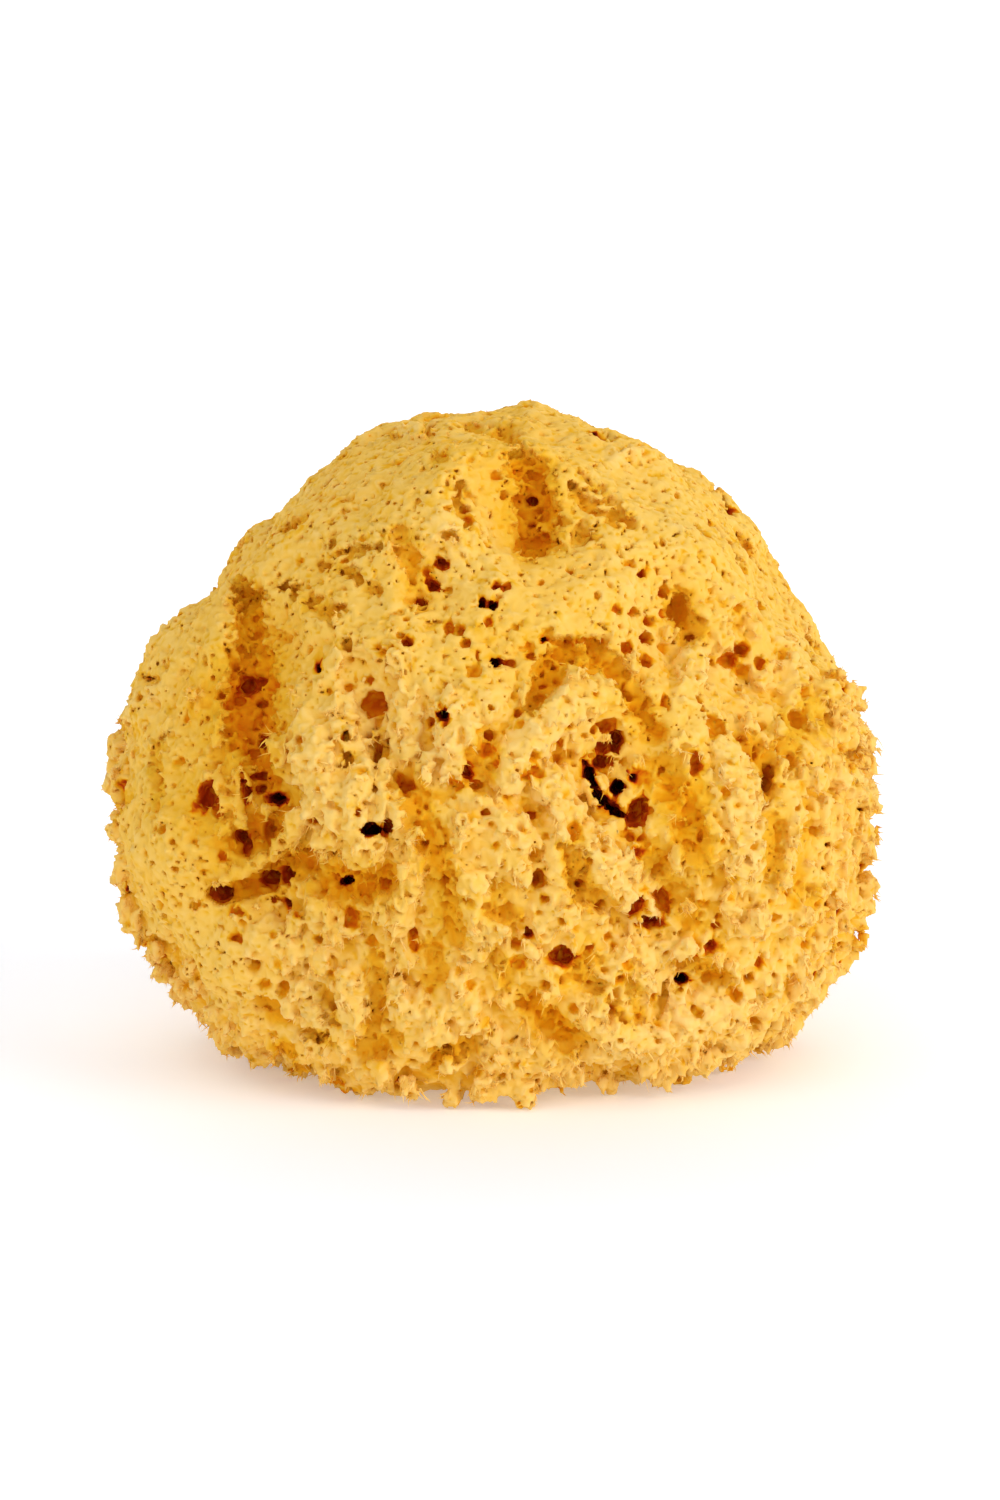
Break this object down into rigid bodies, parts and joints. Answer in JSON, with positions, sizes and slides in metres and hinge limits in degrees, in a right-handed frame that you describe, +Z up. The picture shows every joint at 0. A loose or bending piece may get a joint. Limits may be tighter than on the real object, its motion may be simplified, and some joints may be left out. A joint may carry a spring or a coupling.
{
  "type": "sea sponge",
  "caption": "Golden natural bath sponge: a rounded, lobed dome of soft horny fibre, pitted with pores and channels, cut flat underneath so that it rests on a surface.",
  "frame": {"origin": "middle of the bounding box in plan, on the flat cut that the sponge rests on", "axes": "+Z up, +X along the sponge's longest side, to the right as seen from the front; the front faces -Y"},
  "size_m": [0.14, 0.1228, 0.1178],
  "materials": {
    "spongin": "dry, matt, fibrous and porous; pale yellow tips, golden body, orange to red-brown inside the pores"
  },
  "bodies": {
    "root": {"sponge": "spongin"}
  },
  "joints": []
}
